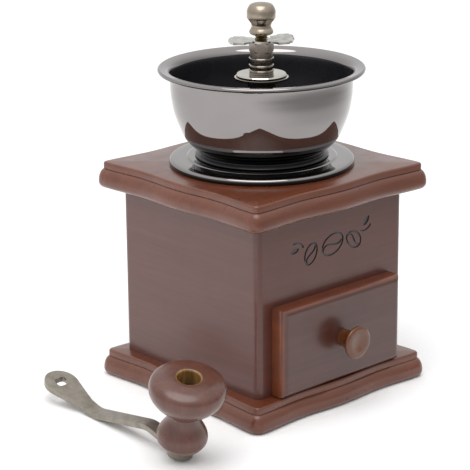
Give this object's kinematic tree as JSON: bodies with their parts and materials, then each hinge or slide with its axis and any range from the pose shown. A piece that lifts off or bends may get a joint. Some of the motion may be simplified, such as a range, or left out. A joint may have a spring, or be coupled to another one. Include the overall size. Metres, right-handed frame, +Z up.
{
  "type": "hand coffee mill",
  "caption": "Wooden box hand coffee mill with a metal hopper bowl, a pull-out drawer for the grounds, a grind adjuster and a lift-off crank.",
  "frame": {"origin": "centre of the base board's underside, on the table", "axes": "+Z up along the spindle; the drawer opens towards -Y; the crank lies on the -X side"},
  "size_m": [0.1645, 0.1256, 0.1752],
  "materials": {
    "board_wood": "satin stained varnish",
    "case_wood": "satin stained varnish",
    "drawer_wood": "satin stained varnish",
    "knob_wood": "gloss varnish",
    "handle_wood": "satin varnish",
    "plain_wood": "bare",
    "black_nickel": "polished black nickel",
    "bright_nickel": "bright nickel",
    "dark_nickel": "dark nickel",
    "satin_nickel": "satin nickel",
    "zinc_steel": "zinc plated",
    "spindle_steel": "yellow passivated thread",
    "crank_steel": "tumbled satin",
    "cast_iron": "as cast, oiled",
    "bush_brass": "turned"
  },
  "bodies": {
    "case": {"base_board": "board_wood", "top_board": "board_wood", "front_panel": "case_wood", "right_panel": "case_wood", "back_panel": "case_wood", "left_panel": "case_wood", "base_screws": "zinc_steel", "top_dowels": "plain_wood", "drawer_guides": "plain_wood", "flange_plate": "black_nickel", "hopper_bowl": "black_nickel", "burr_housing": "cast_iron", "housing_spider": "cast_iron", "outer_burr": "cast_iron", "bearing_disc": "bright_nickel", "housing_screws": "zinc_steel"},
    "drawer": {"drawer_front": "drawer_wood", "drawer_left_side": "plain_wood", "drawer_right_side": "plain_wood", "drawer_back": "plain_wood", "drawer_bottom": "plain_wood", "drawer_knob": "knob_wood", "drawer_knob_screw": "zinc_steel"},
    "adjuster": {"adjusting_sleeve": "dark_nickel", "adjusting_nut": "dark_nickel", "adjuster_plate": "bright_nickel"},
    "bush": {"spindle_bush": "bush_brass"},
    "spindle": {"spindle": "spindle_steel", "inner_burr": "cast_iron", "burr_washer": "zinc_steel", "burr_nut": "zinc_steel"},
    "cap_nut": {"cap_nut": "satin_nickel"},
    "crank": {"crank_arm": "crank_steel", "crank_pin": "crank_steel", "crank_washer": "crank_steel"},
    "crank_knob": {"crank_knob": "handle_wood"}
  },
  "joints": [
    {"name": "drawer_slide", "type": "slide", "parent": "case", "child": "drawer", "axis": [0, -1, 0], "range_m": [0, 0.06]},
    {"name": "adjuster_turn", "type": "hinge", "parent": "case", "child": "adjuster", "pos_m": [0, 0, 0.15], "axis": [0, 0, 1], "range_deg": [0, 270]},
    {"name": "grind_lift", "type": "slide", "parent": "case", "child": "bush", "axis": [0, 0, 1], "range_m": [-0.00075, 0]},
    {"name": "spindle_turn", "type": "hinge", "parent": "bush", "child": "spindle", "pos_m": [0, 0, 0.12], "axis": [0, 0, 1], "continuous": true},
    {"name": "cap_nut_lift", "type": "slide", "parent": "spindle", "child": "cap_nut", "axis": [0, 0, 1], "range_m": [0, 0.02]},
    {"name": "crank_lift", "type": "slide", "parent": "case", "child": "crank", "axis": [0, 0, 1], "range_m": [0, 0.1]},
    {"name": "crank_knob_turn", "type": "hinge", "parent": "crank", "child": "crank_knob", "pos_m": [-0.0912, -0.0464, 0.0015], "axis": [-0.0909, -0.27, 0.9586], "continuous": true}
  ],
  "couplings": [
    {"joint": "adjuster_turn", "follows": "grind_lift", "rad_per_m": -6283.2}
  ]
}
